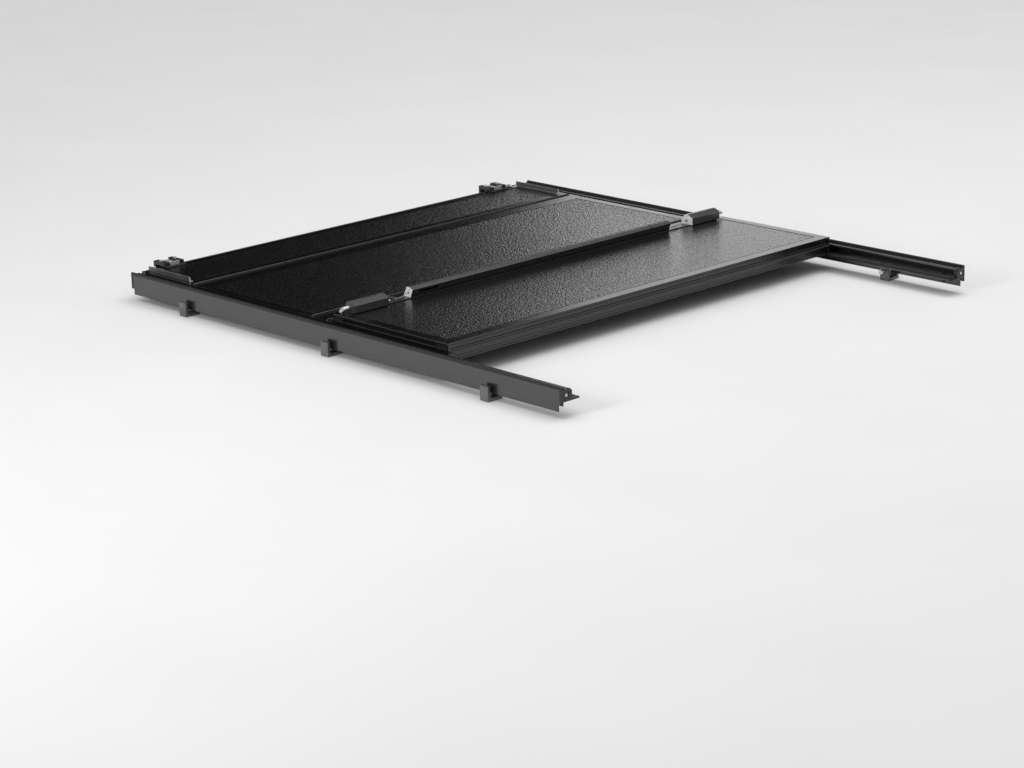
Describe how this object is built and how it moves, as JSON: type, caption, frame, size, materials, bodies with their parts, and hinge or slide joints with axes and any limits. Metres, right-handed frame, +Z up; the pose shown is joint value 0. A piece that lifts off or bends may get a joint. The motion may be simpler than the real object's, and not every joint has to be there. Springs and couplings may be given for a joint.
{
  "type": "tonneau cover",
  "caption": "Hard folding cover for a pickup bed: side rails, a fixed front panel, and hinged panels that fold towards the cab, with the rear panel folded open.",
  "frame": {"origin": "middle of the bed opening, half-way along the rails, level with the hinge axes just above the closed panels", "axes": "+X to the passenger side, +Y forward to the cab, +Z up"},
  "size_m": [1.63, 1.81, 0.1325],
  "materials": {
    "textured_skin": "pebbled satin",
    "core_board": "moulded",
    "liner": "pebbled satin",
    "black_aluminium": "satin anodised",
    "rail_aluminium": "satin anodised",
    "grey_aluminium": "satin",
    "gloss_cap": "gloss",
    "black_plastic": "moulded",
    "rubber": "matt",
    "zinc_steel": "zinc plated",
    "hook_grey": "satin",
    "cable": "coated"
  },
  "bodies": {
    "root": {"rail_walls": "rail_aluminium", "rail_ledges": "rail_aluminium", "rail_top_seals": "rubber", "ledge_seals": "rubber", "rail_end_caps": "black_plastic", "drain_nipples": "black_plastic", "clamp_bodies": "grey_aluminium", "clamp_bolts": "zinc_steel", "panel1_skin": "textured_skin", "panel1_core": "core_board", "panel1_liner": "liner", "panel1_front_bar": "black_aluminium", "panel1_hinge_bar": "black_aluminium", "panel1_side_bars": "black_aluminium", "panel1_corner_caps": "gloss_cap", "bulkhead_seal": "rubber", "front_side_trims": "grey_aluminium", "corner_clips": "zinc_steel", "cab_brackets": "black_plastic", "cab_bracket_hooks": "hook_grey", "cab_bracket_screws": "zinc_steel", "mounting_knobs": "black_plastic", "hinge_pin_front": "zinc_steel"},
    "panel2": {"panel2_skin": "textured_skin", "panel2_core": "core_board", "panel2_liner": "liner", "panel2_front_bar": "black_aluminium", "panel2_rear_bar": "black_aluminium", "panel2_side_bars": "black_aluminium", "panel2_corner_caps": "gloss_cap", "prop_rod_mounts": "grey_aluminium", "hinge_pin_link_front": "zinc_steel"},
    "link": {"link_bar": "black_aluminium", "link_end_caps": "gloss_cap", "hinge_pin_link_rear": "zinc_steel"},
    "panel3": {"panel3_skin": "textured_skin", "panel3_core": "core_board", "panel3_liner": "liner", "panel3_front_bar": "black_aluminium", "panel3_rear_bar": "black_aluminium", "panel3_side_bars": "black_aluminium", "panel3_corner_caps": "gloss_cap", "hinge_pin_rear": "zinc_steel"},
    "panel4": {"panel4_skin": "textured_skin", "panel4_core": "core_board", "panel4_liner": "liner", "panel4_hinge_bar": "black_aluminium", "panel4_tail_bar": "black_aluminium", "panel4_side_bars": "black_aluminium", "panel4_corner_caps": "gloss_cap", "panel4_screws": "zinc_steel", "tailgate_seal": "rubber", "latch_rail": "grey_aluminium", "latch_housings": "black_plastic", "latch_springs": "zinc_steel", "release_cable": "cable"},
    "latch_bolt_left": {"latch_bolt_left": "zinc_steel"},
    "latch_bolt_right": {"latch_bolt_right": "zinc_steel"},
    "prop_rod_left": {"prop_rod_left": "zinc_steel"},
    "prop_rod_right": {"prop_rod_right": "zinc_steel"}
  },
  "joints": [
    {"name": "front_fold", "type": "hinge", "parent": "root", "child": "panel2", "pos_m": [0, 0.65, 0], "axis": [-1, 0, 0], "range_deg": [0, 90]},
    {"name": "link_front_fold", "type": "hinge", "parent": "panel2", "child": "link", "pos_m": [0, 0.126, 0], "axis": [-1, 0, 0], "range_deg": [0, 90]},
    {"name": "link_rear_fold", "type": "hinge", "parent": "link", "child": "panel3", "pos_m": [0, 0.062, 0], "axis": [-1, 0, 0], "range_deg": [0, 90]},
    {"name": "rear_fold", "type": "hinge", "parent": "panel3", "child": "panel4", "pos_m": [0, -0.427, 0], "axis": [-1, 0, 0], "range_deg": [-180, 0]},
    {"name": "prop_rod_left_swing", "type": "hinge", "parent": "panel2", "child": "prop_rod_left", "pos_m": [-0.708, 0.45, -0.0345], "axis": [1, 0, 0], "range_deg": [0, 127.5]},
    {"name": "prop_rod_right_swing", "type": "hinge", "parent": "panel2", "child": "prop_rod_right", "pos_m": [0.708, 0.45, -0.0345], "axis": [1, 0, 0], "range_deg": [0, 127.5]},
    {"name": "latch_bolt_left_slide", "type": "slide", "parent": "panel4", "child": "latch_bolt_left", "axis": [1, 0, 0], "range_m": [0, 0.018], "stiffness_N_per_m": 600, "springref_m": -0.012, "deforming": ["latch_springs"]},
    {"name": "latch_bolt_right_slide", "type": "slide", "parent": "panel4", "child": "latch_bolt_right", "axis": [-1, 0, 0], "range_m": [0, 0.018], "stiffness_N_per_m": 600, "springref_m": -0.012, "deforming": ["latch_springs"]}
  ],
  "couplings": [
    {"joint": "latch_bolt_left_slide", "follows": "latch_bolt_right_slide", "ratio": 1}
  ]
}
